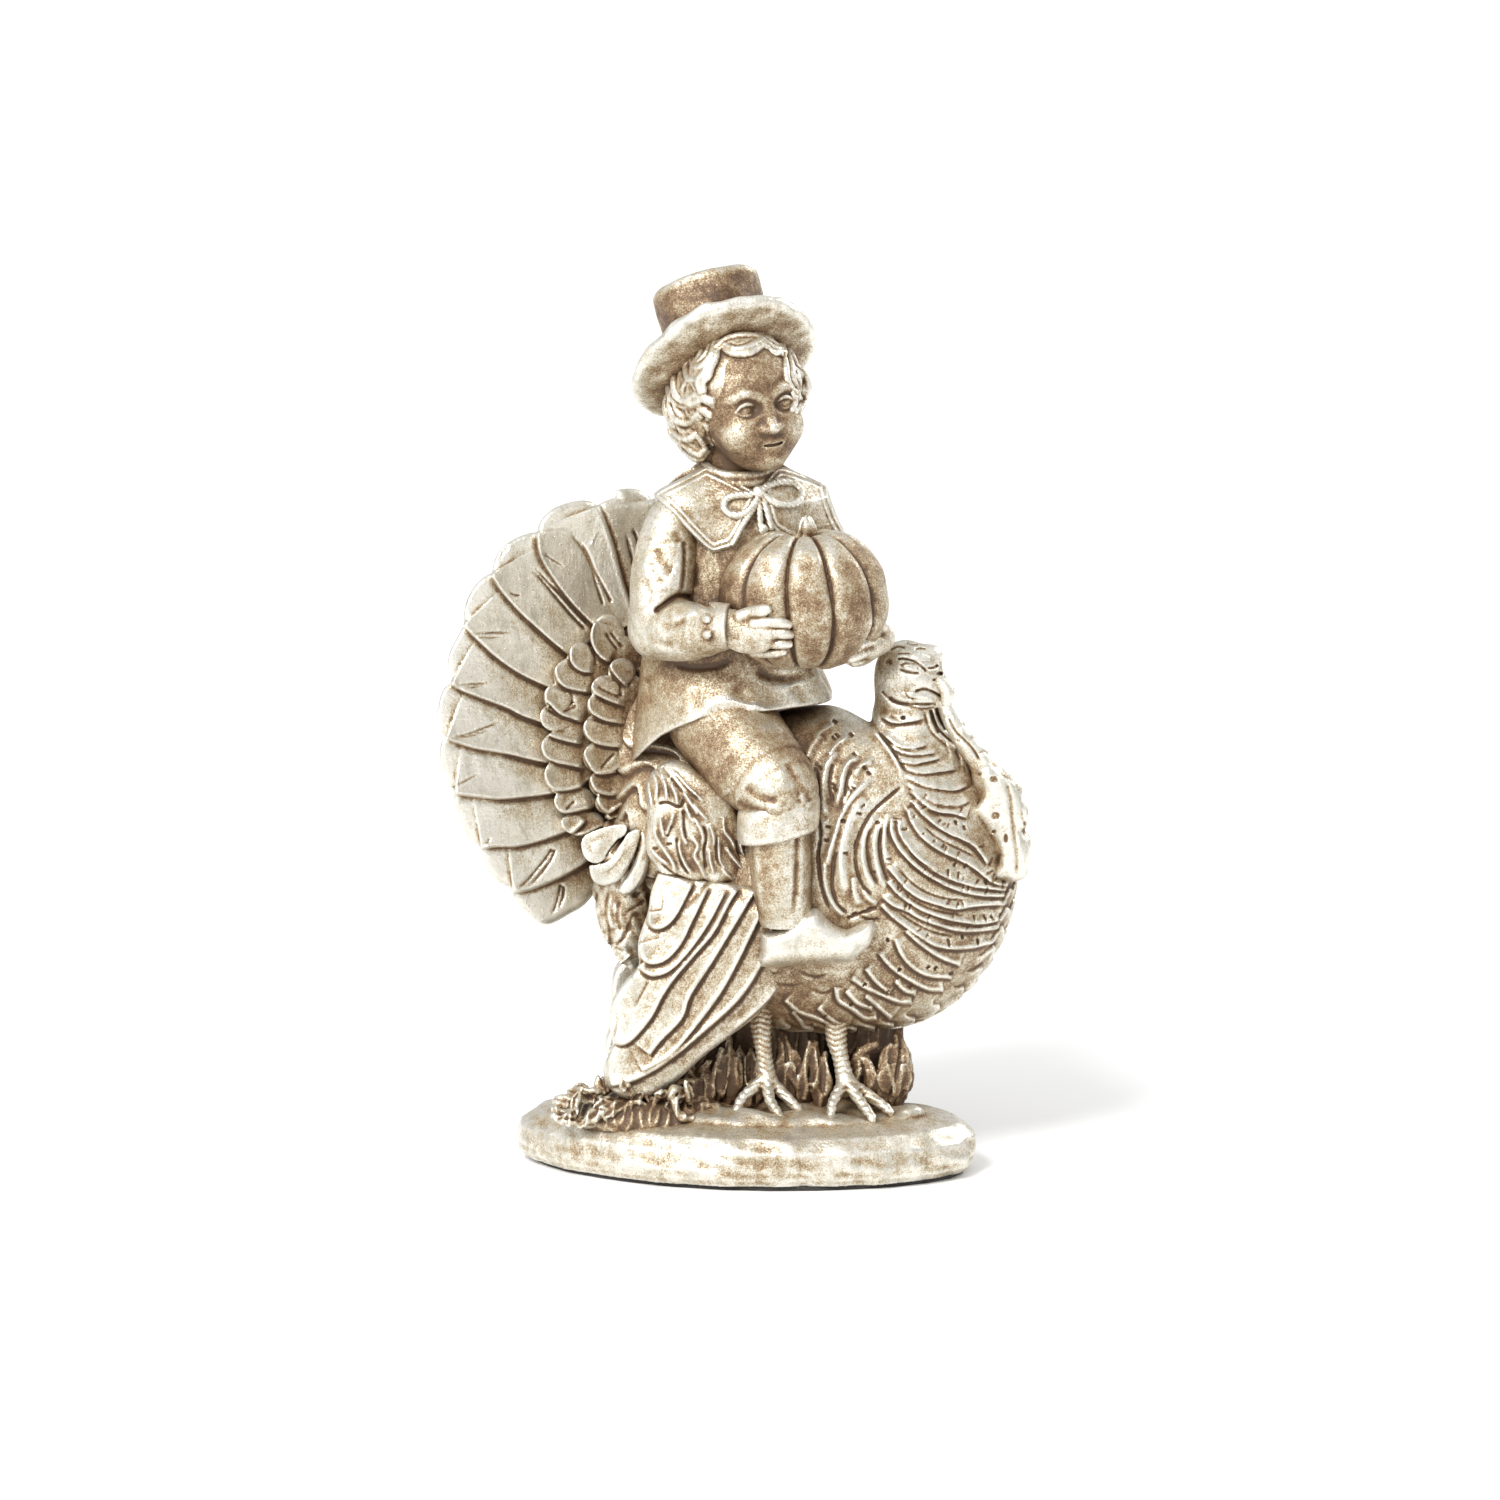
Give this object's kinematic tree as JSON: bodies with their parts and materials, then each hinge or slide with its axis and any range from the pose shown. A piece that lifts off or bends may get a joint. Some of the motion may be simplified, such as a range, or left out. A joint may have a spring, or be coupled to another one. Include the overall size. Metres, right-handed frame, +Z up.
{
  "type": "decorative figurine",
  "caption": "Cast figurine of a child in pilgrim's dress riding a turkey with a fanned tail and holding a ribbed pumpkin, on an oval ground base.",
  "frame": {"origin": "middle of the flat underside of the felt pad, where the figurine stands", "axes": "+Z up, +X to the viewer's right, where the turkey faces, -Y toward the viewer of the picture"},
  "size_m": [0.1637, 0.0876, 0.251],
  "materials": {
    "aged_leaf": "champagne silver leaf over brown patina on cast resin, worn and satin",
    "felt": "dark felt pad"
  },
  "bodies": {
    "root": {"felt_pad": "felt", "ground_base": "aged_leaf", "turkey_body": "aged_leaf", "turkey_head": "aged_leaf", "turkey_neck": "aged_leaf", "snood": "aged_leaf", "wattle": "aged_leaf", "turkey_right_leg": "aged_leaf", "turkey_left_leg": "aged_leaf", "leaf_thicket": "aged_leaf", "pumpkin": "aged_leaf", "pumpkin_stem": "aged_leaf", "right_shoe": "aged_leaf", "right_stocking": "aged_leaf", "right_knee_band": "aged_leaf", "right_breeches": "aged_leaf", "left_shoe": "aged_leaf", "left_stocking": "aged_leaf", "left_knee_band": "aged_leaf", "left_breeches": "aged_leaf", "rider_head": "aged_leaf", "hair": "aged_leaf", "hat_brim": "aged_leaf", "hat_crown": "aged_leaf", "right_sleeve": "aged_leaf", "left_sleeve": "aged_leaf", "right_hand": "aged_leaf", "left_hand": "aged_leaf", "coat": "aged_leaf", "collar": "aged_leaf", "neck_bow": "aged_leaf", "right_wing": "aged_leaf", "left_wing": "aged_leaf", "right_scapulars": "aged_leaf", "left_scapulars": "aged_leaf", "lower_tail_coverts": "aged_leaf", "tail_fluff": "aged_leaf", "tail_fan": "aged_leaf", "inner_tail_coverts": "aged_leaf", "middle_tail_coverts": "aged_leaf", "grass_clump": "aged_leaf"}
  },
  "joints": []
}
